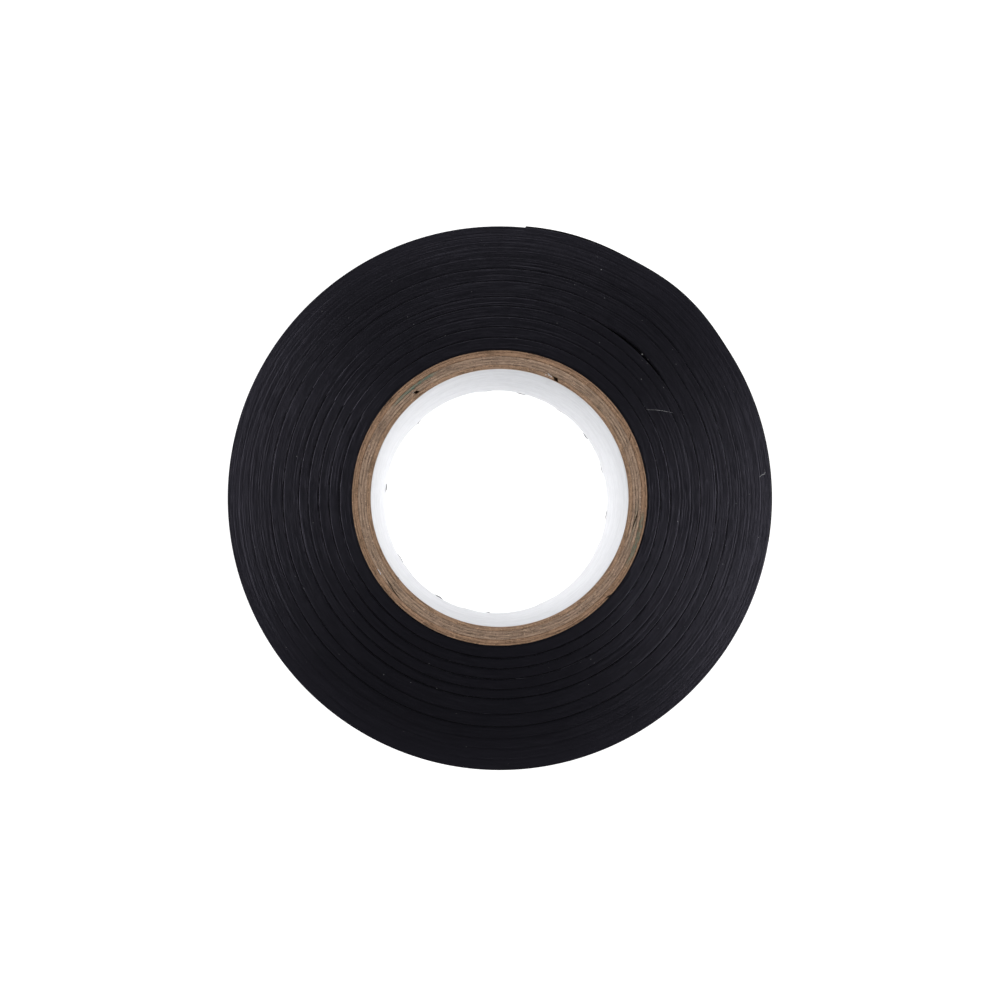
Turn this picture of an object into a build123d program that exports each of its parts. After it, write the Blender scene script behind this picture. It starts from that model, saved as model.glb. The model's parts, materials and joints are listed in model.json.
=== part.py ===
from build123d import *
import os
from math import cos, radians, sin

# Roll of electrical insulating tape: PVC tape 19 mm wide, about 20 m of it, wound on a
# spiral-wound paper core with a white liner. The roll lies flat: its axis is +Z, and the
# origin is on that axis, in the plane of the lower face. The free end of the tape is at
# FREE_END_ANGLE, and the last turn runs clockwise from it, seen from above. The last quarter
# of that turn is the tail, which peels off the roll in short lengths that bend in turn.
# Lengths are in millimetres. Angles are in degrees, anticlockwise from +X seen from above.

# Tape
TAPE_WIDTH = 19.0
FILM_THICKNESS = 0.11
ADHESIVE_THICKNESS = 0.02
TAPE_THICKNESS = FILM_THICKNESS + ADHESIVE_THICKNESS
ROLL_RADIUS = 34.0

# Core: each ply is a strip wound along a helix, whose edges meet in a butt seam
BORE_RADIUS = 16.0
CORE_PLIES = [
    # name, thickness, angle of the seam on the upper face
    ("core_liner", 0.16, 218.0),
    ("core_ply_1", 0.46, 65.0),
    ("core_ply_2", 0.36, 128.5),
    ("core_ply_3", 0.36, 350.0),
    ("core_ply_4", 0.36, 220.0),
    ("core_ply_5", 0.50, 25.0),
    ("core_skin_ply", 0.24, 318.0),
]
CORE_RADIUS = BORE_RADIUS + sum(thickness for _, thickness, _ in CORE_PLIES)
SEAM_PITCH = 98.0
SEAM_GAP = 0.20
CUT_MARGIN = 1.0

# Free end and tail
FREE_END_ANGLE = 84.5
QUARTERS = 4
QUARTER_ANGLE = 360.0 / QUARTERS
TAIL_ROOT_ANGLE = FREE_END_ANGLE - QUARTER_ANGLE
TAIL_LENGTHS = 12
LENGTH_ANGLE = QUARTER_ANGLE / TAIL_LENGTHS
PEEL_CLEARANCE = 0.01

# Place inside the winding where two turns have parted
PARTED_RADIUS = 25.1
PARTED_ANGLES = (36.0, 60.0)
PARTED_OPENING = 0.32


def direction(angle):
    """The unit vector from the roll's axis at this angle."""
    return Vector(cos(radians(angle)), sin(radians(angle)))


def quarter_centre(quarter):
    """Centre of the arc that the last turn follows over this quarter, from its free end.

    The spiral of one turn is four arcs. Each is a quarter of the tape's thickness smaller
    than the one before it and shares its tangent, so their centres are the corners of a
    small square about the roll's axis.
    """
    step = TAPE_THICKNESS / QUARTERS
    joins = [direction(FREE_END_ANGLE - QUARTER_ANGLE * (n + 1)) for n in range(QUARTERS)]
    centre = (joins[0] + joins[1]) * (-step / 2)
    for join in joins[:quarter]:
        centre += join * step
    return centre


def last_turn_arc(quarter, depth):
    """Clockwise arc of the last turn over this quarter, at this depth below its outer face."""
    radius = ROLL_RADIUS - quarter * TAPE_THICKNESS / QUARTERS - depth
    start = FREE_END_ANGLE - quarter * QUARTER_ANGLE
    return CenterArc(quarter_centre(quarter), radius, start, -QUARTER_ANGLE)


def core_ply(inner_radius, thickness, seam_angle):
    """A tube of paper, slit along the helix where the edges of its strip meet."""
    outer_radius = inner_radius + thickness
    middle_radius = inner_radius + thickness / 2
    seam_start = Vector(middle_radius, 0, -CUT_MARGIN)
    with BuildPart() as ply:
        with BuildSketch():
            Circle(outer_radius)
            Circle(inner_radius, mode=Mode.SUBTRACT)
        extrude(amount=TAPE_WIDTH)
        with BuildLine() as seam:
            Helix(
                SEAM_PITCH,
                TAPE_WIDTH + 2 * CUT_MARGIN,
                middle_radius,
                center=(0, 0, -CUT_MARGIN),
            )
        with BuildSketch(Plane(seam_start, x_dir=(1, 0, 0), z_dir=seam.line % 0)):
            Rectangle(2 * thickness, SEAM_GAP)
        sweep(path=seam.line, is_frenet=True, mode=Mode.SUBTRACT)
    seam_turn = 360 * (TAPE_WIDTH + CUT_MARGIN) / SEAM_PITCH
    return ply.part.rotate(Axis.Z, seam_angle - seam_turn)


def wound_tape():
    """All the tape that stays on the roll, with the step at the tail's root."""
    with BuildPart() as pack:
        with BuildSketch():
            with BuildLine():
                under_tail = last_turn_arc(0, TAPE_THICKNESS + PEEL_CLEARANCE)
                rest = [last_turn_arc(quarter, 0) for quarter in range(1, QUARTERS)]
                Line(under_tail @ 1, rest[0] @ 0)
                Line(rest[-1] @ 1, under_tail @ 0)
            make_face()
            Circle(CORE_RADIUS, mode=Mode.SUBTRACT)
            with BuildLine():
                first, last = (direction(angle) * PARTED_RADIUS for angle in PARTED_ANGLES)
                middle = direction(sum(PARTED_ANGLES) / 2)
                ThreePointArc(first, middle * PARTED_RADIUS, last)
                ThreePointArc(first, middle * (PARTED_RADIUS + PARTED_OPENING), last)
            make_face(mode=Mode.SUBTRACT)
        extrude(amount=TAPE_WIDTH)
    return pack.part


def tail_length(number, outer_depth, inner_depth):
    """One layer of a short length of the tail, between two depths below its outer face."""
    centre = quarter_centre(0)
    start = TAIL_ROOT_ANGLE + number * LENGTH_ANGLE
    with BuildPart() as length:
        with BuildSketch():
            with BuildLine():
                outer = CenterArc(centre, ROLL_RADIUS - outer_depth, start, LENGTH_ANGLE)
                inner = CenterArc(centre, ROLL_RADIUS - inner_depth, start, LENGTH_ANGLE)
                Line(outer @ 0, inner @ 0)
                Line(outer @ 1, inner @ 1)
            make_face()
        extrude(amount=TAPE_WIDTH)
    return length.part


def write(part, name):
    """Labels a finished part and writes its STEP file."""
    part.label = name
    export_step(part, f"parts/{name}.step")


os.makedirs("parts", exist_ok=True)

ply_radius = BORE_RADIUS
for ply_name, ply_thickness, ply_seam_angle in CORE_PLIES:
    write(core_ply(ply_radius, ply_thickness, ply_seam_angle), ply_name)
    ply_radius += ply_thickness

write(wound_tape(), "wound_tape")

for tail_number in range(TAIL_LENGTHS):
    film = tail_length(tail_number, 0, FILM_THICKNESS)
    write(film, f"tail_film_{tail_number + 1:02d}")
    adhesive = tail_length(tail_number, FILM_THICKNESS, TAPE_THICKNESS)
    write(adhesive, f"tail_adhesive_{tail_number + 1:02d}")
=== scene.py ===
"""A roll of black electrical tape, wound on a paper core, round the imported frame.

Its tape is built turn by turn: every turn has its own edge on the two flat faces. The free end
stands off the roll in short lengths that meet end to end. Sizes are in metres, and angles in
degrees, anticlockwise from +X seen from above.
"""

import json
import math

import bmesh
import bpy
import numpy as np
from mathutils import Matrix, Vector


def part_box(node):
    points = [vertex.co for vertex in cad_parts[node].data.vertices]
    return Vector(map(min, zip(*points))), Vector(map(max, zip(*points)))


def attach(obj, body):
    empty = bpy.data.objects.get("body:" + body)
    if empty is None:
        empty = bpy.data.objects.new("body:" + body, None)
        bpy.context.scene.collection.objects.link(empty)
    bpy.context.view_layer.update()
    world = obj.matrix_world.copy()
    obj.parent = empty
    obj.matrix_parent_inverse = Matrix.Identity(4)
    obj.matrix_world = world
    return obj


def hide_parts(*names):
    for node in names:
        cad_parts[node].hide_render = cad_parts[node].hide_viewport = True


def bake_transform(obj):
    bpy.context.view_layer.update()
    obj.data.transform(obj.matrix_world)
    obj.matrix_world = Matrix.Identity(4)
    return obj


bl_info = {
    "name": "Electrical Tape Roll",
    "version": (1, 0, 0),
    "blender": (4, 5, 0),
    "location": "3D View > Sidebar > Tape Roll",
    "description": "Adds a roll of electrical tape on its paper core",
    "category": "Object",
}

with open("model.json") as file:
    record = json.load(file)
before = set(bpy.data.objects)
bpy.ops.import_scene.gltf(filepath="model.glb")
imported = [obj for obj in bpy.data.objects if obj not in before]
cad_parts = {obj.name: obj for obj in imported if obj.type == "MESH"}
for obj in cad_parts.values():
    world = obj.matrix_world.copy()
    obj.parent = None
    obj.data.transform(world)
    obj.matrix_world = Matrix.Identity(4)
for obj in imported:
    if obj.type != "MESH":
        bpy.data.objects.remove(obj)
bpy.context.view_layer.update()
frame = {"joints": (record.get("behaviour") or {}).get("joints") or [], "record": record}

MM = 0.001
FULL_TURN = 360.0

# Places that the frame gives
LOWER_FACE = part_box("wound_tape")[0].z
UPPER_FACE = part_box("wound_tape")[1].z
CORE_NODES = ["core_liner", *(f"core_ply_{number}" for number in range(1, 6)), "core_skin_ply"]
BORE_RADIUS = next(m["dims"]["r_mm"] for m in frame["record"]["mounts"] if m["name"] == "bore") * MM
PLY_RADII = [BORE_RADIUS, *((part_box(node)[1].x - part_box(node)[0].x) / 2 for node in CORE_NODES)]
CORE_RADIUS = PLY_RADII[-1]
HINGES = [joint["pos_m"] for joint in frame["joints"]]
HINGE_ANGLES = [math.degrees(math.atan2(y, x)) for x, y, _ in HINGES]
TAIL_BODIES = ["roll", *(joint["child"] for joint in frame["joints"])]
LENGTH_ANGLE = (HINGE_ANGLES[-1] - HINGE_ANGLES[0]) / (len(HINGES) - 1)
ROOT_ANGLE = HINGE_ANGLES[0]
ROOT_RADIUS = math.hypot(*HINGES[0][:2])

# The tape is followed station by station, from the core outwards. A turn's line is where it
# touches the turn below it, so its outer face is on the line one turn further on.
STEPS = 288
LENGTH_STEPS = round(LENGTH_ANGLE / FULL_TURN * STEPS)
HALF_LENGTH = LENGTH_STEPS // 2
TAPE_THICKNESS = 0.13 * MM
ROOT_LINE = round((ROOT_RADIUS - CORE_RADIUS) / TAPE_THICKNESS * STEPS)
END_LINE = ROOT_LINE + LENGTH_STEPS * len(HINGES)


class RollSizes(bpy.types.PropertyGroup):
    """Sizes of the winding and of its small faults."""

    adhesive: bpy.props.FloatProperty(
        name="Adhesive", description="Thickness of the adhesive coat", default=0.02 * MM,
        unit="LENGTH")
    ridge: bpy.props.FloatProperty(
        name="Ridge", description="Height of the ridge where each band of turns begins",
        default=0.022 * MM, unit="LENGTH")
    groove: bpy.props.FloatProperty(
        name="Groove", description="Depth of the groove between two turns", default=0.014 * MM,
        unit="LENGTH")
    wander: bpy.props.FloatProperty(
        name="Wander", description="How far the tape wanders sideways as it is wound",
        default=0.0032 * MM, unit="LENGTH")
    parting: bpy.props.FloatProperty(
        name="Parting", description="Widest gap where two turns have parted", default=0.31 * MM,
        unit="LENGTH")
    lift: bpy.props.FloatProperty(
        name="Lift", description="How far the free end stands off the roll", default=0.09 * MM,
        unit="LENGTH")
    seam_gap: bpy.props.FloatProperty(
        name="Seam gap", description="Gap between the edges of a ply's strip", default=0.22 * MM,
        unit="LENGTH")
    seam_pitch: bpy.props.FloatProperty(
        name="Seam pitch", description="Height in which a core seam makes one turn",
        default=98 * MM, unit="LENGTH")


class RollColours(bpy.types.PropertyGroup):
    """Colours of the tape and of the core's papers."""

    film: bpy.props.FloatVectorProperty(
        name="Film", description="Black PVC film", default=(0.0034, 0.0034, 0.0048),
        subtype="COLOR", size=3, min=0, max=1)
    film_haze: bpy.props.FloatVectorProperty(
        name="Film haze", description="Cut edge of the film where it is scuffed",
        default=(0.0125, 0.0118, 0.0168), subtype="COLOR", size=3, min=0, max=1)
    adhesive: bpy.props.FloatVectorProperty(
        name="Adhesive", description="Black rubber adhesive", default=(0.006, 0.006, 0.0065),
        subtype="COLOR", size=3, min=0, max=1)
    kraft: bpy.props.FloatVectorProperty(
        name="Kraft", description="Brown core paper", default=(0.465, 0.303, 0.200),
        subtype="COLOR", size=3, min=0, max=1)
    outer_kraft: bpy.props.FloatVectorProperty(
        name="Outer kraft", description="Core paper of the two outer plies",
        default=(0.43, 0.27, 0.174), subtype="COLOR", size=3, min=0, max=1)
    grey_kraft: bpy.props.FloatVectorProperty(
        name="Grey kraft", description="Recycled core paper of the inner plies",
        default=(0.48, 0.337, 0.244), subtype="COLOR", size=3, min=0, max=1)
    ink: bpy.props.FloatVectorProperty(
        name="Ink", description="Old print in the recycled paper", default=(0.05, 0.17, 0.14),
        subtype="COLOR", size=3, min=0, max=1)
    liner: bpy.props.FloatVectorProperty(
        name="Liner", description="White liner paper", default=(0.87, 0.875, 0.895),
        subtype="COLOR", size=3, min=0, max=1)
    dust: bpy.props.FloatVectorProperty(
        name="Dust", description="Paper dust and lint", default=(0.42, 0.42, 0.43),
        subtype="COLOR", size=3, min=0, max=1)


# ---------------------------------------------------------------- winding

# Whole turns in each band, from the core outwards. One more band runs on to the tail's root.
BAND_TURNS = (11, 10, 10, 10, 9, 15, 12, 11, 10, 10)
BAND_STARTS = np.concatenate([[0], np.cumsum(BAND_TURNS)])
# How strongly the turns at the start of each band stand out
BAND_RIDGES = np.array([0.5, 1.0, 0.9, 1.0, 0.8, 1.0, 0.9, 0.8, 0.5, 0.35, 0.25])
# How proud each turn stands after a band begins, in ridges, and how much painted shade darkens the
# gap beside it
RIDGE_PROFILE = ((0, 1, 2, 3, 5), (-0.5, 0.4, 0.2, 0.1, 0.0))
GROOVE_SHADE_PROFILE = ((0, 1, 2.6), (1.0, 0.7, 0.0))
# The tape's edges lie about this many ridges below the flat face, and never below the allowance
MEAN_DEPTH = 1.2
FACE_ALLOWANCE = 0.12 * MM
# The tape is jogged sideways over the end of each turn, from this share of the turn
JOG_START = 0.92
# Stations between the values of the curves along the tape, and the share of the finer wander
WANDER_STEPS = 22
FLUTTER_STEPS = 6
STRENGTH_STEPS = STEPS // 8
FLUTTER_SHARE = 0.4
# The last band that the parted place leaves alone, and the angles that it and the free end span
PARTED_BAND = 5
PARTED_ANGLES = (32.0, 63.0)
PARTED_POWER = 1.8
LIFTED_ANGLES = (61.0, 89.0)
LIFTED_POWER = 1.5
FILM_WAVE = 0.006 * MM


def smooth_step(share):
    """A smooth curve from 0 to 1 as the share goes from 0 to 1."""
    share = np.clip(share, 0, 1)
    return share * share * (3 - 2 * share)


def smooth_noise(seed, spacing):
    """A smooth random curve along the tape, about 0, with a new value every few stations."""
    values = np.random.default_rng(seed).normal(size=END_LINE // spacing + 4)

    def noise(station):
        place = np.clip(np.asarray(station, float), 0, END_LINE) / spacing
        index = place.astype(int)
        share = smooth_step(place - index)
        return values[index] * (1 - share) + values[index + 1] * share

    return noise


slow_wander = smooth_noise(11, WANDER_STEPS)
flutter = smooth_noise(12, FLUTTER_STEPS)
ridge_strength = smooth_noise(13, STRENGTH_STEPS)


def angle_at(station):
    """The angle of a station along the tape."""
    return ROOT_ANGLE + (station - ROOT_LINE) * FULL_TURN / STEPS


def line_radius(line):
    """Radius of the winding's line at this station. The first turn lies flat on the core."""
    spiral = CORE_RADIUS + (ROOT_RADIUS - CORE_RADIUS) * line / ROOT_LINE
    return np.where(line < STEPS, CORE_RADIUS, spiral)


def swell(angle, start, end, power):
    """A smooth hump from 0 to 1 and back between two angles."""
    share = ((angle - start) % FULL_TURN) / (end - start)
    return np.where(share < 1, np.sin(np.pi * np.minimum(share, 1)) ** power, 0.0)


def parting(angle):
    """How far the turns outside the parted place stand out at this angle."""
    return bpy.context.scene.roll_sizes.parting * swell(angle, *PARTED_ANGLES, PARTED_POWER)


def band_at(station):
    """The band that a station is in, and how many turns it is from where that band begins."""
    turn = np.asarray(station, float) / STEPS
    band = np.clip(np.searchsorted(BAND_STARTS, turn, side="right") - 1, 0, len(BAND_STARTS) - 1)
    return band, turn - BAND_STARTS[band]


def edge_depth(station):
    """How far the tape's edge lies below the flat face at this station."""
    sizes = bpy.context.scene.roll_sizes
    band, since = band_at(station)
    jog = smooth_step((since % 1 - JOG_START) / (1 - JOG_START))
    proud = BAND_RIDGES[band] * np.interp(np.floor(since) + jog, *RIDGE_PROFILE)
    strength = np.clip(0.85 + 0.2 * ridge_strength(station), 0.3, 1.15)
    wander = sizes.wander * (slow_wander(station) + FLUTTER_SHARE * flutter(station))
    depth = sizes.ridge * (MEAN_DEPTH - strength * proud) + wander
    return np.clip(depth, 0, FACE_ALLOWANCE)


def open_edge(station):
    """How much painted shade darkens the gap beside the tape's edge at this station: 1 where a band
    begins.
    """
    band, since = band_at(station)
    strength = np.clip(0.8 + 0.25 * ridge_strength(station), 0.3, 1)
    return strength * BAND_RIDGES[band] * np.interp(since, *GROOVE_SHADE_PROFILE)


def groove_depth(line):
    """Depth of the groove along a line, below the edges of the turns on both sides of it."""
    deeper_edge = np.maximum(edge_depth(line), edge_depth(line - STEPS))
    return deeper_edge + bpy.context.scene.roll_sizes.groove


def film_wave(angle, height):
    """The film's slight waves round the roll, the same on the tail and on the turns below it."""
    turn = np.radians(angle)
    long_wave = np.sin(5 * turn + 120 * height)
    short_wave = np.sin(11 * turn - 210 * height + 1.0)
    return FILM_WAVE * (long_wave + 0.6 * short_wave)


def polar(radius, angle, height):
    """Points at these radii, angles and heights, as rows of x, y, z."""
    turn = np.radians(angle)
    radius, turn, height = np.broadcast_arrays(radius, turn, height)
    return np.stack([radius * np.cos(turn), radius * np.sin(turn), height], axis=-1).reshape(-1, 3)


# ---------------------------------------------------------------- meshes


def add_piece(name, points, faces, materials, slots=None, painted_shade=None, sharp_angle=75.0):
    """Makes an object from points and faces, with its normals outwards."""
    mesh = bpy.data.meshes.new(name)
    mesh.from_pydata(np.asarray(points).tolist(), [], [list(map(int, face)) for face in faces])
    for material in materials:
        mesh.materials.append(material)
    if slots is not None:
        mesh.polygons.foreach_set("material_index", np.asarray(slots, np.int32))
    shape = bmesh.new()
    shape.from_mesh(mesh)
    bmesh.ops.recalc_face_normals(shape, faces=shape.faces)
    limit = math.radians(sharp_angle)
    for face in shape.faces:
        face.smooth = True
    for edge in shape.edges:
        first, second = edge.link_faces
        same_slot = first.material_index == second.material_index
        edge.smooth = same_slot and first.normal.dot(second.normal) > math.cos(limit)
    shape.to_mesh(mesh)
    shape.free()
    rest = mesh.attributes.new("rest", "FLOAT_VECTOR", "POINT")
    rest.data.foreach_set("vector", np.asarray(points, np.float32).ravel())
    # Painted shade for the grooves where a band of turns begins, kept as an attribute that darkens
    # the cut-edge colour
    if painted_shade is not None:
        mesh.attributes.new("open_edge", "FLOAT", "POINT").data.foreach_set("value", painted_shade)
    piece = bpy.data.objects.new(name, mesh)
    bpy.context.scene.collection.objects.link(piece)
    return piece


# Where the rows of points across a turn's edge lie, as shares of the tape's thickness. The first
# is the bottom of the groove between two turns.
ROW_PLACES = (0.0, 0.25, 0.75)


def ring_faces(upper, lower):
    """Faces between two closed rings of points."""
    return np.stack([upper, np.roll(upper, -1), np.roll(lower, -1), lower], axis=1)


def film_walls(top, bottom, loops):
    """The film's own faces, which join the two flat faces along loops with so many levels each.

    Returns the points that the levels add, and the faces.
    """
    size = len(top)
    next_point = 2 * size
    points, faces = [], []
    for loop, levels in loops:
        ring = loop
        for level in range(1, levels):
            share = level / levels
            place = top[loop] * (1 - share) + bottom[loop] * share
            angle = np.degrees(np.arctan2(place[:, 1], place[:, 0]))
            grown = 1 + film_wave(angle, place[:, 2]) / np.hypot(place[:, 0], place[:, 1])
            place[:, :2] *= grown[:, None]
            points.append(place)
            below = np.arange(next_point, next_point + len(loop))
            next_point += len(loop)
            faces.append(ring_faces(ring, below))
            ring = below
        faces.append(ring_faces(ring, loop + size))
    return points, faces


def band_solid(first, last, moved_out, levels):
    """Points, faces, slots and painted groove shade of the turns between two stations, as a closed
    solid.

    Slot 0 is the tape's edges on the two flat faces, and slot 1 the film's own faces.
    """
    rows = len(ROW_PLACES)
    count = last - first
    stations = np.arange(first, last + 1)
    outer_line = np.arange(last + 1, last + STEPS + 1)
    shift, outer_shift = 0.0, 0.0
    if moved_out:
        shift, outer_shift = parting(angle_at(stations)), parting(angle_at(outer_line))
    start = line_radius(stations)
    width = line_radius(stations + STEPS) - start
    radius = np.stack([start + place * width + shift for place in ROW_PLACES], axis=1)
    depth = np.stack([groove_depth(stations), *[edge_depth(stations)] * (rows - 1)], axis=1)
    radius = np.concatenate([radius.ravel(), line_radius(outer_line) + outer_shift])
    depth = np.concatenate([depth.ravel(), groove_depth(outer_line)])
    angle = np.concatenate([np.repeat(angle_at(stations), rows), angle_at(outer_line)])
    groove_shade = np.concatenate([np.repeat(open_edge(stations), rows), open_edge(outer_line)])
    top = polar(radius, angle, UPPER_FACE - depth)
    bottom = polar(radius, angle, LOWER_FACE + 2 * FACE_ALLOWANCE - depth)
    size = len(top)

    def line_index(station):
        """The point on a line at a station counted from the band's first."""
        return np.where(station <= count, station * rows, count * (rows - 1) + rows - 1 + station)

    here = np.arange(count)
    quads = []
    for row in range(rows - 1):
        corner = here * rows + row
        quads.append(np.stack([corner, corner + rows, corner + rows + 1, corner + 1], axis=1))
    corner = here * rows + rows - 1
    quads.append(np.stack(
        [corner, corner + rows, line_index(here + 1 + STEPS), line_index(here + STEPS)], axis=1))
    face = np.concatenate(quads)

    inner_loop = [*line_index(np.arange(STEPS + 1)), *range(rows - 1, 0, -1)]
    end_rows = range(count * rows + rows - 1, count * rows, -1)
    outer_loop = [*line_index(np.arange(count, count + STEPS + 1)), *end_rows]
    loops = ((np.array(inner_loop), 1), (np.array(outer_loop), levels))
    wall_points, walls = film_walls(top, bottom, loops)
    faces = np.concatenate([face, face[:, ::-1] + size, *walls])
    slots = np.zeros(len(faces), int)
    slots[2 * len(face):] = 1
    points = np.concatenate([top, bottom, *wall_points])
    painted_shade = np.zeros(len(points))
    painted_shade[:2 * size] = np.tile(groove_shade, 2)
    return points, faces, slots, painted_shade


def swept_solid(columns, levels):
    """Closed solid from rings of points, one ring for each column.

    A ring goes up the inner wall, across the top, down the outer wall and back across the
    bottom. Each wall has the same number of points, so the two ends are closed level by level.
    """
    count, size = columns.shape[:2]
    across = (size - 2 * levels) // 2
    ring = np.arange(size)
    faces = []
    for column in range(count - 1):
        here, there = column * size, (column + 1) * size
        for start, end in zip(ring, np.roll(ring, -1)):
            faces.append((here + start, there + start, there + end, here + end))
    inner = list(range(levels))
    top = list(range(levels, levels + across))
    outer = list(range(levels + across, 2 * levels + across))[::-1]
    bottom = list(range(2 * levels + across, size))
    for base in (0, (count - 1) * size):
        for level in range(levels - 1):
            face = [inner[level], inner[level + 1]]
            if level == levels - 2:
                face += top
            face += [outer[level + 1], outer[level]]
            if level == 0:
                face += bottom
            faces.append([base + index for index in face])
    return columns.reshape(-1, 3), faces


def flake(centre, size, rng):
    """A small irregular crumb: points and faces of a bent, faceted lump."""
    sides = 6
    turn = np.arange(sides) * 2 * np.pi / sides + rng.uniform(0, 1)
    reach = size * rng.uniform(0.5, 1.0, sides)
    rise = size * rng.uniform(-0.1, 0.2, sides)
    ring = np.stack([reach * np.cos(turn), reach * np.sin(turn), rise], axis=1)
    peak = np.array([[0, 0, size * 0.45], [0, 0, -size * 0.25]])
    points = np.concatenate([ring, peak]) + np.asarray(centre)
    faces = []
    for side in range(sides):
        after = (side + 1) % sides
        faces.append((side, after, sides))
        faces.append((after, side, sides + 1))
    return points, faces


def fibre(path, radius, sides=5):
    """A thin tapered thread along a path of points."""
    path = np.asarray(path, float)
    along = np.gradient(path, axis=0)
    along /= np.linalg.norm(along, axis=1)[:, None]
    side = np.cross(along, (0, 0, 1))
    side /= np.linalg.norm(side, axis=1)[:, None]
    over = np.cross(side, along)
    taper = radius * (0.35 + 0.65 * np.sin(np.pi * np.linspace(0.08, 0.92, len(path))))
    turn = np.arange(sides) * 2 * np.pi / sides
    ring = side[:, None] * np.cos(turn)[:, None] + over[:, None] * np.sin(turn)[:, None]
    points = path[:, None] + ring * taper[:, None, None]
    faces = []
    for here in range(len(path) - 1):
        for corner in range(sides):
            after = (corner + 1) % sides
            faces.append((here * sides + corner, here * sides + after,
                          (here + 1) * sides + after, (here + 1) * sides + corner))
    faces.append(tuple(range(sides)))
    faces.append(tuple(range(len(path) * sides - sides, len(path) * sides)))
    return points.reshape(-1, 3), faces


def joined(parts):
    """Points and faces of several small solids as one list each."""
    points, faces = [], []
    for part_points, part_faces in parts:
        base = sum(len(p) for p in points)
        points.append(part_points)
        faces += [tuple(index + base for index in face) for face in part_faces]
    return np.concatenate(points), faces


# ---------------------------------------------------------------- materials


class Wire:
    """A socket that Python expressions work on. Each operator adds a Math node."""

    def __init__(self, tree, socket=None):
        self.tree = tree
        self.socket = socket

    def node(self, kind, settings=None, inputs=None, output=0):
        """Adds a node: its settings first, then the values or links of its sockets."""
        node = self.tree.nodes.new("ShaderNode" + kind)
        for name, value in (settings or {}).items():
            setattr(node, name, value)
        for key, value in (inputs or {}).items():
            if isinstance(value, Wire):
                self.tree.links.new(value.socket, node.inputs[key])
            elif node.inputs[key].type == "RGBA":
                node.inputs[key].default_value = (*value, 1.0)
            else:
                node.inputs[key].default_value = value
        return Wire(self.tree, node.outputs[output]) if node.outputs else None

    def math(self, operation, *values):
        return self.node("Math", {"operation": operation}, dict(enumerate(values)))

    def __add__(self, other):
        return self.math("ADD", self, other)

    def __radd__(self, other):
        return self.math("ADD", other, self)

    def __sub__(self, other):
        return self.math("SUBTRACT", self, other)

    def __rsub__(self, other):
        return self.math("SUBTRACT", other, self)

    def __mul__(self, other):
        return self.math("MULTIPLY", self, other)

    def __rmul__(self, other):
        return self.math("MULTIPLY", other, self)

    def __truediv__(self, other):
        return self.math("DIVIDE", self, other)

    def __pow__(self, other):
        return self.math("POWER", self, other)

    def between(self, low, high):
        """0 below low, 1 above high, and a smooth step between them."""
        return self.node("MapRange", {"interpolation_type": "SMOOTHSTEP"},
                         {"Value": self, "From Min": low, "From Max": high})

    def mixed(self, first, second):
        """The colour between two colours, with this as the share of the second."""
        return self.node("Mix", {"data_type": "RGBA"}, {0: self, 6: first, 7: second}, output=2)

    def noise(self, scale=1.0, detail=2.0, roughness=0.5):
        """Noise from 0 to 1 at this vector."""
        return self.node("TexNoise", {"noise_dimensions": "3D"},
                         {"Vector": self, "Scale": scale, "Detail": detail, "Roughness": roughness})


def start_material(name):
    """A new empty material, and the place at rest of the point that is shaded.

    Returns the material, that place as a vector, and its x, y, z and radius from the axis.
    """
    material = bpy.data.materials.new(name)
    material.use_nodes = True
    material.node_tree.nodes.clear()
    place = Wire(material.node_tree).node("Attribute", {"attribute_name": "rest"}, output="Vector")
    split = {"Vector": place}
    x, y, z = (place.node("SeparateXYZ", None, split, output=axis) for axis in "XYZ")
    radius = (x * x + y * y) ** 0.5
    return material, place, x, y, z, radius


def vector(x, y, z):
    """The vector with these parts."""
    return x.node("CombineXYZ", None, {"X": x, "Y": y, "Z": z})


def scaled(colour, factor):
    """A colour this many times as bright."""
    return tuple(min(1, part * factor) for part in colour)


def finish_material(material, wire, height=None, distance=0.01 * MM, **sockets):
    """Closes a material with one Principled shader. Its sockets' spaces are written as _."""
    inputs = {name.replace("_", " "): value for name, value in sockets.items()}
    if height is not None:
        inputs["Normal"] = wire.node("Bump", None, {"Distance": distance, "Height": height})
    shader = wire.node("BsdfPrincipled", None, inputs)
    wire.node("OutputMaterial", None, {"Surface": shader})
    return material


def cut_edge_material(colours):
    """The tape's slit edges on the flat faces: streaks along each turn, a painted sheen at the outer
    rim, and painted shade in the grooves where a band begins.
    """
    material, place, x, y, _, radius = start_material("cut_tape_edges")
    turn = radius * (1 / TAPE_THICKNESS)
    streak = vector(x / radius * 9, y / radius * 9, turn * 0.9).noise(detail=2)
    broad = vector(x / radius * 2, y / radius * 2, turn * 0.09).noise(detail=1)
    grain = place.noise(scale=9000, detail=2)
    # Painted sheen: the face is lightened toward its outer rim, where light catches it
    painted_rim_sheen = radius.between(ROOT_RADIUS - 5 * MM, ROOT_RADIUS)
    core_side = 1 - radius.between(CORE_RADIUS, CORE_RADIUS + 3 * MM)
    scratched = streak.between(0.4, 0.85) * 0.22 + broad.between(0.4, 0.8) * 0.10
    scuffs_and_sheen = scratched + painted_rim_sheen * 0.35 + core_side * 0.06
    groove_shade = place.node("Attribute", {"attribute_name": "open_edge"}, output="Fac")
    tape = scuffs_and_sheen.mixed(tuple(colours.film), tuple(colours.film_haze))
    # Painted shade: the colour is darkened toward black in the grooves where a band of turns begins
    colour = (groove_shade * 0.9).mixed(tape, (0, 0, 0))
    roughness = 0.25 + 0.12 * streak + 0.06 * grain - 0.14 * groove_shade
    return finish_material(material, place, height=streak + 0.3 * grain, distance=0.017 * MM,
                           Base_Color=colour, Roughness=roughness, Specular_IOR_Level=0.62,
                           Specular_Tint=(0.83, 0.79, 1.0))


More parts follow.
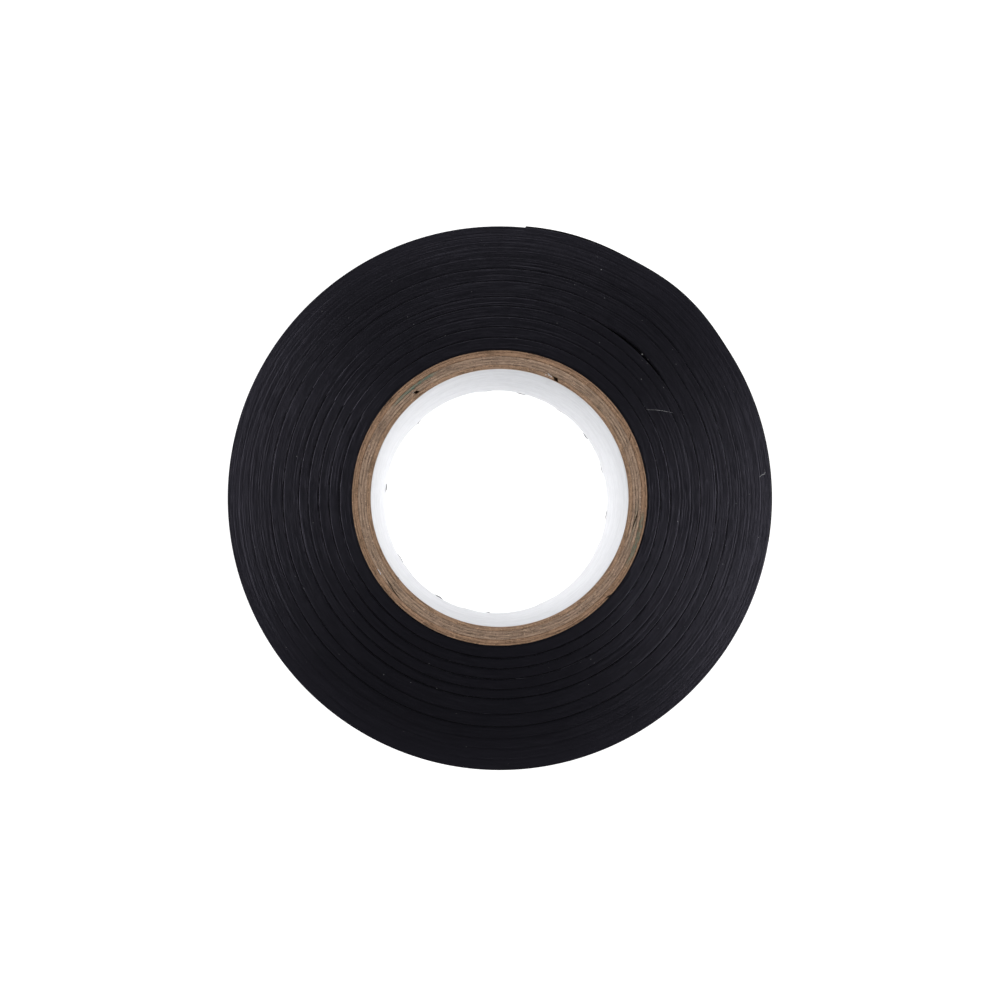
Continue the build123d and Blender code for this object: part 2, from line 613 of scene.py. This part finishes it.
def film_material(colours):
    """The smooth back of the PVC film, with faint lines across it and a fine orange peel."""
    material, place, x, y, z, radius = start_material("pvc_film_back")
    across = vector(x * 2600, y * 2600, z * 60).noise(detail=2)
    along = vector(x / radius * 3, y / radius * 3, z * 2500).noise(detail=2)
    peel = place.noise(scale=5000, detail=1)
    smear = vector(x * 160, y * 160, z * 90).noise(detail=2)
    stretch = vector(x * 240, y * 240, z * 25).noise(detail=3)
    lines = along.between(0.45, 0.8) + stretch.between(0.5, 0.75)
    worn = smear.between(0.42, 0.8) * 0.4 + lines * 0.3
    colour = worn.mixed(tuple(colours.film), scaled(colours.film_haze, 2))
    roughness = 0.22 + 0.16 * smear + 0.08 * along
    return finish_material(material, place, height=across * 0.5 + along * 0.3 + peel * 0.3,
                           distance=0.01 * MM, Base_Color=colour, Roughness=roughness,
                           Specular_IOR_Level=0.32)


def adhesive_material(colours):
    """The tacky coat on the film's inner face."""
    material, place, x, y, z, _ = start_material("rubber_adhesive")
    strings = vector(x * 900, y * 900, z * 3500).noise(detail=3)
    blotch = place.noise(scale=700, detail=2)
    colour = blotch.between(0.5, 0.8).mixed(tuple(colours.adhesive), tuple(colours.film_haze))
    return finish_material(material, place, height=strings + blotch, distance=0.008 * MM,
                           Base_Color=colour, Roughness=0.35 + 0.25 * blotch)


# Depths below a core's end where the painted seam shade starts, and where it hides the paper
SEAM_SHADE_START = 0.12 * MM
SEAM_SHADE_FULL = 0.30 * MM
# The near-black colour painted as shade inside the core's seams
SEAM_SHADE_COLOUR = (0.03, 0.018, 0.01)
# Grey of the scuffs and painted shade at the liner's torn lower edge
SCUFF_AND_SHADE_GREY = (0.28, 0.28, 0.27)


def kraft_material(name, colour, ink_angle, ink_share, colours):
    """A core ply's paper: fibres that run round the core, flecks, and a patch of old ink.

    Away from the two ends its colour is painted nearly black as shade, which shows inside the seams.
    """
    material, place, x, y, z, radius = start_material(name)
    fibres = vector(x / radius * 26, y / radius * 26, radius * 12000).noise(detail=4, roughness=0.6)
    strands = vector(x / radius * 7, y / radius * 7, radius * 6500).noise(detail=2)
    wall = vector(x * 500, y * 500, z * 4200).noise(detail=3)
    flecks = place.noise(scale=5200, detail=2)
    clouds = place.noise(scale=500, detail=2)
    lines = fibres.between(0.38, 0.6) + strands.between(0.36, 0.6)
    share = lines * 0.45 + clouds * 0.2 + wall * 0.05
    paper = share.mixed(scaled(colour, 0.3), colour)
    pale = flecks.between(0.62, 0.72).mixed(paper, scaled(colour, 1.35))
    speckled = (flecks.between(0.38, 0.30) * 0.6).mixed(pale, scaled(colour, 0.12))
    ink_turn = math.radians(ink_angle)
    facing = (x * math.cos(ink_turn) + y * math.sin(ink_turn)) / radius
    patch = facing.between(0.972, 0.996) * fibres.between(0.35, 0.65) * ink_share
    inked = patch.mixed(speckled, tuple(colours.ink))
    # Painted shade: away from the two ends the paper is darkened nearly to black, showing inside the
    # seams
    from_below = z.between(LOWER_FACE + SEAM_SHADE_START, LOWER_FACE + SEAM_SHADE_FULL)
    from_above = 1 - z.between(UPPER_FACE - SEAM_SHADE_FULL, UPPER_FACE - SEAM_SHADE_START)
    seam_shade_mask = from_below * from_above
    seam_shaded = (seam_shade_mask * 0.9).mixed(inked, SEAM_SHADE_COLOUR)
    return finish_material(material, place, height=fibres + flecks * 0.6, distance=0.03 * MM,
                           Base_Color=seam_shaded, Roughness=0.92, Specular_IOR_Level=0.2)


def liner_material(colours):
    """Liner paper with a white face on brown stock: a slight mottle, and grey scuffs with painted
    shade at the torn lower edge.
    """
    material, place, x, y, z, radius = start_material("white_liner_paper")
    mottle = place.noise(scale=900, detail=3)
    fibres = vector(x * 1800, y * 1800, z * 6000).noise(detail=2)
    creases = vector(x / radius * 1.6, y / radius * 1.6, z * 1100).noise(detail=2)
    shade = mottle.between(0.25, 0.8) * 0.6 + creases.between(0.4, 0.55) * 0.4
    bright = shade.mixed(scaled(colours.liner, 0.9), tuple(colours.liner))
    # Painted shade: grey patches near the torn lower edge stand for the shade of its frayed bits, as
    # well as scuffs
    torn = vector(x * 420, y * 420, z * 300).noise(detail=2)
    shaded_low_edge = 1 - z.between(LOWER_FACE + 0.1 * MM, LOWER_FACE + 0.7 * MM)
    scuffed = (shaded_low_edge * torn.between(0.55, 0.62) * 0.75).mixed(bright, SCUFF_AND_SHADE_GREY)
    stock = radius.between(BORE_RADIUS + 0.07 * MM, BORE_RADIUS + 0.09 * MM)
    faced = stock.mixed(scuffed, tuple(colours.kraft))
    return finish_material(material, place, height=mottle + fibres * 0.6 + creases,
                           distance=0.016 * MM, Base_Color=faced, Roughness=0.75,
                           Specular_IOR_Level=0.3)


def dust_material(name, pale):
    """Paper dust or lint, in shades up to this pale one."""
    material, place, *_ = start_material(name)
    tone = place.noise(scale=3000, detail=1)
    colour = tone.mixed(scaled(pale, 0.55), tuple(pale))
    return finish_material(material, place, Base_Color=colour, Roughness=0.9, Specular_IOR_Level=0.2)


# ---------------------------------------------------------------- operators

TAPE_SLOT = "pvc_film"
WALL_LEVELS = 12
# How far the torn end wanders round the roll, in degrees, and the gap under the tail's adhesive
TORN_WAVE = 0.10
TAIL_CLEARANCE = 0.004 * MM


class AddWoundTape(bpy.types.Operator):
    """Adds the tape that stays on the roll, one piece for each band of turns."""

    bl_idname = "tape_roll.wound_tape"
    bl_label = "Wound Tape"

    def execute(self, context):
        colours = context.scene.roll_colours
        materials = [cut_edge_material(colours), film_material(colours)]
        fixed_end = ROOT_LINE - STEPS - HALF_LENGTH
        ends = [*(int(start) * STEPS for start in BAND_STARTS), fixed_end]
        for number, (first, last) in enumerate(zip(ends, ends[1:]), 1):
            outermost = last == fixed_end
            shape = band_solid(first, last, number > PARTED_BAND, WALL_LEVELS if outermost else 1)
            points, faces, slots, painted_shade = shape
            band = add_piece(f"tape_band_{number:02d}", points, faces, materials, slots, painted_shade)
            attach(band, "roll")
            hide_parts("wound_tape")
        return {"FINISHED"}


def rounded_ends(heights, rounding):
    """Heights on a wall that stops short of its two flat ends."""
    wall = heights.copy()
    wall[0] += rounding
    wall[-1] -= rounding
    return wall


def torn_wave(share):
    """How far the torn end runs round the roll, in degrees, at a share of the tape's width."""
    return TORN_WAVE * (np.sin(9 * np.pi * share + 0.4) + 0.5 * np.sin(31 * np.pi * share))


def tail_columns(first, last, outer_depth, inner_depth, levels):
    """Rings of one layer of the tail between two stations of its outer face."""
    sizes = bpy.context.scene.roll_sizes
    lines = np.linspace(first, last, 2 * (last - first) + 1)
    angle = angle_at(lines)
    depth = edge_depth(lines - STEPS)
    lift = sizes.lift * swell(angle, *LIFTED_ANGLES, LIFTED_POWER)
    outer = line_radius(lines) + parting(angle) + lift
    share = np.linspace(0, 1, levels)
    rings = []
    for place, here in enumerate(angle):
        low = LOWER_FACE + 2 * FACE_ALLOWANCE - depth[place]
        high = UPPER_FACE - depth[place]
        heights = low + (high - low) * share
        wall = rounded_ends(heights, 0.2 * sizes.groove)
        wave = film_wave(here, heights)
        around = np.full(levels, here)
        if lines[place] >= END_LINE - 0.01:
            around = around + torn_wave(share)
        near, far = outer[place] - inner_depth + wave, outer[place] - outer_depth + wave
        middle = (near + far) / 2
        rings.append(np.concatenate([
            polar(near, around, wall),
            polar(middle[-1], around[-1], high),
            polar(far[::-1], around[::-1], wall[::-1]),
            polar(middle[0], around[0], low),
        ]))
    return np.stack(rings)


class AddTail(bpy.types.Operator):
    """Adds the free end: lengths of film and adhesive, each laid across one hinge."""

    bl_idname = "tape_roll.tail"
    bl_label = "Free End"

    def execute(self, context):
        sizes = context.scene.roll_sizes
        colours = context.scene.roll_colours
        coat = TAPE_THICKNESS - sizes.adhesive
        inside = TAPE_THICKNESS - TAIL_CLEARANCE
        layers = (
            ("film", TAPE_SLOT, film_material(colours), 0.0, coat),
            ("adhesive", "adhesive", adhesive_material(colours), coat, inside),
        )
        for layer, slot, material, outer_depth, inner_depth in layers:
            for number in range(len(TAIL_BODIES)):
                first = ROOT_LINE + number * LENGTH_STEPS - HALF_LENGTH
                last = min(first + LENGTH_STEPS, END_LINE)
                rings = tail_columns(first, last, outer_depth, inner_depth, WALL_LEVELS + 1)
                points, faces = swept_solid(rings, WALL_LEVELS + 1)
                piece = add_piece(f"tail_{layer}_length_{number + 1:02d}", points, faces, [material])
                if number + 1 < len(TAIL_BODIES):
                    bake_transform(piece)
                else:
                    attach(piece, TAIL_BODIES[-1])
                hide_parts(f"tail_{layer}_{min(number + 1, len(HINGES)):02d}")
        return {"FINISHED"}


# A seam's angle on the upper face, how far it slants round the core across the ply, and its gap
# as a share of the seam gap
PLY_SEAMS = {
    "core_liner": (218.0, 0.0, 0.5),
    "core_ply_1": (65.0, 1.0, 3.4),
    "core_ply_2": (128.5, 1.0, 3.0),
    "core_ply_3": (350.5, 7.0, 4.2),
    "core_ply_4": (220.0, 8.0, 4.8),
    "core_ply_5": (25.0, 2.0, 1.0),
    "core_skin_ply": (318.0, 1.5, 2.6),
}
# The colour of each kraft ply, and the angle and share of its patch of old ink
KRAFT_PAPERS = {
    "core_ply_1": ("kraft", 65.0, 0.0),
    "core_ply_2": ("grey_kraft", 128.5, 0.0),
    "core_ply_3": ("grey_kraft", 348.0, 0.3),
    "core_ply_4": ("grey_kraft", 128.0, 0.95),
    "core_ply_5": ("outer_kraft", 343.0, 0.8),
    "core_skin_ply": ("outer_kraft", 318.0, 0.0),
}
PLY_COLUMNS = 300
PLY_LEVELS = 9
PLY_ROWS = 5
# The gap on each side of a ply, how far its walls stop short of its ends, how deep its ends lie
# and how rough they are, and how far the liner stands in at its lap
PLY_GAP = 0.012 * MM
PLY_ROUNDING = 0.08 * MM
PLY_END_DEPTH = 0.02 * MM
PLY_FUZZ = 0.016 * MM
LINER_LAP = 0.04 * MM
# The liner's face is slightly wavy, and its lower edge is bent in at some places
LINER_WAVE = 0.012 * MM
LINER_BEND = 0.10 * MM


def liner_wall(base, heights):
    """How far the liner's inner face lies from its even radius at this angle and these heights."""
    away = LINER_WAVE * np.sin(np.radians(base * 7) + heights * 500)
    away[0] -= LINER_BEND * max(0.0, math.sin(math.radians(base * 9 + 40))) ** 8
    return away


def ply_columns(node, inner_radius, outer_radius, rng):
    """Rings of one ply's strip, sheared round the core with height as it is wound."""
    sizes = bpy.context.scene.roll_sizes
    seam, slant, gap = PLY_SEAMS[node]
    gap_angle = math.degrees(gap * sizes.seam_gap / inner_radius)
    spread = np.linspace(0, 1, PLY_COLUMNS)
    round_core = seam + gap_angle / 2 + spread * (FULL_TURN - gap_angle)
    heights = np.linspace(LOWER_FACE, UPPER_FACE, PLY_LEVELS)
    wall = rounded_ends(heights, PLY_ROUNDING)
    shear = (heights - UPPER_FACE) / sizes.seam_pitch * FULL_TURN
    rows = np.linspace(0.15, 0.85, PLY_ROWS)
    fuzz = np.abs(rng.normal(size=(PLY_COLUMNS, PLY_ROWS)) * PLY_FUZZ)
    far = outer_radius - PLY_GAP
    is_liner = node == "core_liner"
    rings = []
    for column, base in enumerate(round_core):
        past_seam = spread[column] * FULL_TURN
        lap = LINER_LAP * math.exp(-past_seam / 50) if is_liner else 0.0
        near = inner_radius + PLY_GAP + lap
        inner_wall = np.full(PLY_LEVELS, near)
        if is_liner:
            inner_wall += liner_wall(base, heights)
        row_radius = near + (far - near) * rows
        row_angle = base + slant * (rows - 0.5)
        top = UPPER_FACE - PLY_END_DEPTH - fuzz[column]
        bottom = LOWER_FACE + PLY_END_DEPTH + fuzz[column]
        rings.append(np.concatenate([
            polar(inner_wall, base - slant / 2 + shear, wall),
            polar(row_radius, row_angle + shear[-1], top),
            polar(np.full(PLY_LEVELS, far), base + slant / 2 + shear[::-1], wall[::-1]),
            polar(row_radius[::-1], row_angle[::-1] + shear[0], bottom),
        ]))
    return np.stack(rings)


class AddCore(bpy.types.Operator):
    """Adds the white liner and the brown plies, each with its own seam."""

    bl_idname = "tape_roll.core"
    bl_label = "Paper Core"

    def execute(self, context):
        colours = context.scene.roll_colours
        rng = np.random.default_rng(21)
        for node, inner, outer in zip(CORE_NODES, PLY_RADII, PLY_RADII[1:]):
            if node == "core_liner":
                material, slot = liner_material(colours), "liner_paper"
            else:
                shade, ink_angle, ink_share = KRAFT_PAPERS[node]
                colour = tuple(getattr(colours, shade))
                material = kraft_material(f"{node}_paper", colour, ink_angle, ink_share, colours)
                slot = "kraft_paper"
            points, faces = swept_solid(ply_columns(node, inner, outer, rng), PLY_LEVELS)
            ply = add_piece(f"{node}_strip", points, faces, [material])
            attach(ply, "roll")
            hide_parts(node)
        return {"FINISHED"}


CRUMB_COUNT = 130
CRUMB_SIZE = 0.13 * MM
CRUMB_MARGIN = 0.5 * MM
# Angle, radius and size of the larger crumbs and of the lumps of lint, in degrees and millimetres
PLACED_CRUMBS = ((45.2, 25.25, 0.10), (43.0, 25.3, 0.07), (66.0, 31.2, 0.10), (93.5, 31.6, 0.06),
                 (37.2, 27.6, 0.06), (40.6, 28.4, 0.06), (218.3, 16.08, 0.13), (44.0, 24.7, 0.06),
                 (42.3, 24.9, 0.05))
LINT_LUMPS = ((66.9, 16.45, 0.10), (68.1, 16.5, 0.13), (69.4, 16.4, 0.09))
# Angle, radius, sweep and half width of the lint on the core's end, in degrees and millimetres
CORE_THREADS = ((210.3, 17.6, 2.6, 0.055), (66.8, 16.5, 1.2, 0.03), (68.0, 16.6, 0.9, 0.03),
                (129.0, 17.0, 0.8, 0.02), (300.0, 16.9, 0.7, 0.02), (158.0, 17.5, 0.8, 0.02))
# The two ends of the fine hair, how far it bows and its half width, in millimetres
HAIR_ENDS = np.array(((18.3, 11.0, 0.0), (21.7, 10.6, 0.0)))
HAIR_BOW = 0.12
HAIR_HALF_WIDTH = 0.009
# Radii in millimetres and angles in degrees of two short threads on the tape, their depths below
# the upper face and their half widths in millimetres
RIM_THREADS = (
    ((33.9, 34.15, 34.3), (285.0, 285.0, 285.3), 0.1, 0.03),
    ((32.5, 32.8, 33.1, 33.3), (4.6, 5.0, 5.1, 5.6), 0.0, 0.02),
)
# Angle and sweep of each frayed bit on the liner's lower rim
FRAYS = ((134.7, 4), (77, 5), (36.3, 4), (17, 6), (353, 5), (239, 5), (211, 6), (173, 5), (266, 2))
FRAY_POINTS = 9


def placed_flakes(places, rng):
    """Flakes on the upper face, each at an angle and a radius and of a size."""
    flakes = []
    for angle, radius, size in places:
        centre = polar(radius * MM, angle, UPPER_FACE - 0.04 * MM)[0]
        flakes.append(flake(centre, size * MM, rng))
    return flakes


def crumbs(rng):
    """Paper crumbs all over the tape's edges, and a few larger ones."""
    parts = []
    for _ in range(CRUMB_COUNT):
        radius = rng.uniform(CORE_RADIUS + CRUMB_MARGIN, ROOT_RADIUS - CRUMB_MARGIN)
        centre = polar(radius, rng.uniform(0, FULL_TURN), UPPER_FACE - 0.03 * MM)[0]
        parts.append(flake(centre, rng.uniform(0.25, 0.7) ** 2 * CRUMB_SIZE, rng))
    return parts + placed_flakes(PLACED_CRUMBS, rng)


def hair():
    """One fine hair that lies bowed on the tape's edges."""
    start, end = HAIR_ENDS * MM
    share = np.linspace(0, 1, 12)[:, None]
    path = start + (end - start) * share + (0, 0, UPPER_FACE - 0.02 * MM)
    path[:, 1] += HAIR_BOW * MM * np.sin(np.pi * share[:, 0])
    return fibre(path, HAIR_HALF_WIDTH * MM)


def threads(rng):
    """The hair, the lumps of lint, and threads on the core's end and on the tape."""
    parts = [hair(), *placed_flakes(LINT_LUMPS, rng)]
    for angle, radius, length, half_width in CORE_THREADS:
        sweep = angle + length * np.linspace(0, 1, 7)
        lean = radius * MM + 0.04 * MM * np.sin(np.linspace(0, 4, 7) + angle)
        parts.append(fibre(polar(lean, sweep, UPPER_FACE - 0.005 * MM), half_width * MM))
    for radii, angles, depth, half_width in RIM_THREADS:
        path = polar(np.array(radii) * MM, np.array(angles), UPPER_FACE - depth * MM)
        parts.append(fibre(path, half_width * MM))
    return parts


def frays(rng):
    """Frayed bits of paper that hang into the bore from the liner's lower rim."""
    parts = []
    bow = np.sin(np.linspace(0, np.pi, FRAY_POINTS))
    for angle, length in FRAYS:
        sweep = angle + length * np.linspace(-0.5, 0.5, FRAY_POINTS)
        inwards = 0.10 * MM * bow * rng.uniform(0.4, 1.0)
        jitter = rng.normal(size=FRAY_POINTS) * 0.015 * MM
        path = polar(BORE_RADIUS - inwards + jitter, sweep, LOWER_FACE + 0.12 * MM)
        parts.append(fibre(path, rng.uniform(0.05, 0.09) * MM))
    return parts


class AddDust(bpy.types.Operator):
    """Adds lint, paper crumbs and one fine hair on the upper face."""

    bl_idname = "tape_roll.dust"
    bl_label = "Dust and Fibres"

    def execute(self, context):
        rng = np.random.default_rng(31)
        colours = context.scene.roll_colours
        dust = dust_material("paper_dust", colours.dust)
        lint = dust_material("white_lint", colours.liner)
        points, faces = joined(crumbs(rng))
        face_dust = add_piece("face_dust", points, faces, [dust], sharp_angle=20)
        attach(face_dust, "roll")
        points, faces = joined(threads(rng))
        loose_fibres = add_piece("loose_fibres", points, faces, [lint])
        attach(loose_fibres, "roll")
        points, faces = joined(frays(rng))
        liner_frays = add_piece("liner_frays", points, faces, [dust])
        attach(liner_frays, "roll")
        return {"FINISHED"}


# ---------------------------------------------------------------- stage

CAMERA_PLACE = (-3.34 * MM, -3.56 * MM, UPPER_FACE + 121.9 * MM)
SENSOR_WIDTH = 36.0
LENS = 35.2
LENS_SHIFT = (0.0272, 0.0265)
FLOOR_HALF = 1.5
FLOOR_COLOUR = (0.35, 0.35, 0.35, 1)
WHITE = (1, 1, 1, 1)
# The strength of the world's light level with the roll, and how much of it is lost higher up
WALL_LIGHT = 0.85
LOWER_LOSS = 0.55
UPPER_LOSS = 0.27
SOFTBOXES = (
    # name, place, width and height, watts
    ("right_softbox", (0.40, -0.08, 0.33), (0.55, 0.22), 1.6),
    ("left_softbox", (-0.40, 0.06, 0.33), (0.55, 0.22), 1.3),
    ("back_softbox", (0.02, 0.45, 0.33), (0.40, 0.22), 0.5),
)


def studio_world():
    """White walls all round, and a dark ceiling."""
    world = bpy.data.worlds.new("studio")
    world.use_nodes = True
    world.node_tree.nodes.clear()
    start = Wire(world.node_tree)
    direction = start.node("TexCoord", output="Generated")
    height = direction.node("SeparateXYZ", None, {"Vector": direction}, output="Z")
    lost = LOWER_LOSS * height.between(0.05, 0.25) + UPPER_LOSS * height.between(0.3, 0.6)
    strength = WALL_LIGHT - lost
    background = start.node("Background", None, {"Color": (1, 1, 1), "Strength": strength})
    start.node("OutputWorld", None, {"Surface": background})
    return world


def add_floor(scene):
    """A wide glowing table that the roll lies on."""
    mesh = bpy.data.meshes.new("floor")
    corners = ((-1, -1), (1, -1), (1, 1), (-1, 1))
    points = [(x * FLOOR_HALF, y * FLOOR_HALF, LOWER_FACE) for x, y in corners]
    mesh.from_pydata(points, [], [(0, 1, 2, 3)])
    material = bpy.data.materials.new("light_table")
    material.use_nodes = True
    shader = material.node_tree.nodes["Principled BSDF"].inputs
    shader["Base Color"].default_value = FLOOR_COLOUR
    shader["Roughness"].default_value = 0.9
    shader["Emission Color"].default_value = WHITE
    shader["Emission Strength"].default_value = 1.0
    mesh.materials.append(material)
    floor = bpy.data.objects.new("floor", mesh)
    scene.collection.objects.link(floor)


def add_softbox(scene, name, place, size, power):
    """A rectangular light that faces the roll."""
    light = bpy.data.lights.new(name, "AREA")
    light.shape = "RECTANGLE"
    light.size, light.size_y = size
    light.energy = power
    lamp = bpy.data.objects.new(name, light)
    lamp.location = place
    towards = -lamp.location.copy()
    lamp.rotation_mode = "QUATERNION"
    lamp.rotation_quaternion = towards.to_track_quat("-Z", "Y")
    scene.collection.objects.link(lamp)


def add_camera(scene):
    """The camera, which looks straight down at the upper face."""
    data = bpy.data.cameras.new("camera")
    data.sensor_width = SENSOR_WIDTH
    data.lens = LENS
    data.shift_x, data.shift_y = LENS_SHIFT
    data.clip_start = 0.01
    camera = bpy.data.objects.new("camera", data)
    camera.location = CAMERA_PLACE
    scene.collection.objects.link(camera)
    scene.camera = camera


class AddStage(bpy.types.Operator):
    """Adds the floor, the softboxes, the world's light and the camera."""

    bl_idname = "tape_roll.stage"
    bl_label = "Stage"

    def execute(self, context):
        scene = context.scene
        scene.view_settings.view_transform = "Standard"
        add_floor(scene)
        for softbox in SOFTBOXES:
            add_softbox(scene, *softbox)
        scene.world = studio_world()
        add_camera(scene)
        return {"FINISHED"}


class TapeRollPanel(bpy.types.Panel):
    """Lists the roll's pieces, sizes and colours."""

    bl_idname = "VIEW3D_PT_tape_roll"
    bl_label = "Tape Roll"
    bl_space_type = "VIEW_3D"
    bl_region_type = "UI"
    bl_category = "Tape Roll"

    def draw(self, context):
        for operator in OPERATORS:
            self.layout.operator(operator.bl_idname)
        for group in (context.scene.roll_sizes, context.scene.roll_colours):
            for name in group.__annotations__:
                self.layout.prop(group, name)


OPERATORS = (AddCore, AddWoundTape, AddTail, AddDust, AddStage)
CLASSES = (RollSizes, RollColours, *OPERATORS, TapeRollPanel)


def register():
    for cls in CLASSES:
        bpy.utils.register_class(cls)
    bpy.types.Scene.roll_sizes = bpy.props.PointerProperty(type=RollSizes)
    bpy.types.Scene.roll_colours = bpy.props.PointerProperty(type=RollColours)


def unregister():
    del bpy.types.Scene.roll_colours
    del bpy.types.Scene.roll_sizes
    for cls in reversed(CLASSES):
        bpy.utils.unregister_class(cls)


def main():
    """Adds every piece and the stage."""
    register()
    bpy.ops.tape_roll.core()
    bpy.ops.tape_roll.wound_tape()
    bpy.ops.tape_roll.tail()
    bpy.ops.tape_roll.dust()
    bpy.ops.tape_roll.stage()


if __name__ == "__main__":
    main()
